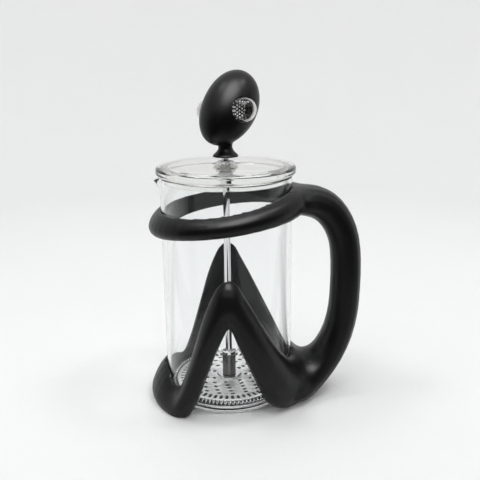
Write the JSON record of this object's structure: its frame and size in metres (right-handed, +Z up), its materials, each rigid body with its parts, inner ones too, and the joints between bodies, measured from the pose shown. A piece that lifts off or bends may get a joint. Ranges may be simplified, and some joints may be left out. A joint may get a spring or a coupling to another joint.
{
  "type": "french press",
  "caption": "Press coffee maker: glass beaker with a pouring spout in a moulded carrying frame, clear lid, and an egg-shaped knob on a plunger rod with a spring-edged filter.",
  "frame": {"origin": "middle of the whole footprint, on the surface it stands on; the beaker's axis is 19.93 mm towards -X", "axes": "+Z up, +X towards the handle, the pouring spout towards -X"},
  "size_m": [0.1622, 0.1174, 0.2447],
  "materials": {
    "frame_plastic": "satin near-black moulding with broad soft highlights",
    "knob_plastic": "satin near-black moulding",
    "beaker_glass": "clear blown borosilicate glass, fire-polished rim",
    "clear_lid": "clear moulded lid with a faint warm grey cast",
    "clear_lens": "polished clear dome",
    "reflector": "bright dimpled foil",
    "polished_steel": "polished stainless steel",
    "brushed_sleeve": "dark brushed stainless steel",
    "spring_wire": "drawn stainless wire",
    "woven_screen": "fine woven stainless screen",
    "insert_brass": "turned brass"
  },
  "bodies": {
    "frame": {"frame": "frame_plastic"},
    "beaker": {"beaker": "beaker_glass"},
    "lid": {"lid": "clear_lid"},
    "bush": {"lid_bush": "polished_steel", "lid_bush_clip": "polished_steel"},
    "plunger": {"plunger_rod": "polished_steel", "knob": "knob_plastic", "knob_insert": "insert_brass", "knob_lens_right": "clear_lens", "knob_lens_left": "clear_lens", "knob_reflector_right": "reflector", "knob_reflector_left": "reflector", "hub_collar": "polished_steel", "hub_sleeve": "brushed_sleeve", "hub_washer": "polished_steel", "spiral_plate": "polished_steel", "edge_spring": "spring_wire", "filter_mesh": "woven_screen", "cross_plate": "polished_steel", "rod_nut": "polished_steel"}
  },
  "joints": [
    {"name": "beaker_lift", "type": "slide", "parent": "frame", "child": "beaker", "axis": [0, 0, 1], "range_m": [0, 0.17]},
    {"name": "lid_lift", "type": "slide", "parent": "beaker", "child": "lid", "axis": [0, 0, 1], "range_m": [0, 0.19]},
    {"name": "plunger_turn", "type": "hinge", "parent": "lid", "child": "bush", "pos_m": [-0.01993, 0, 0.18], "axis": [0, 0, 1], "continuous": true},
    {"name": "plunge", "type": "slide", "parent": "bush", "child": "plunger", "axis": [0, 0, 1], "range_m": [0, 0.125]}
  ]
}
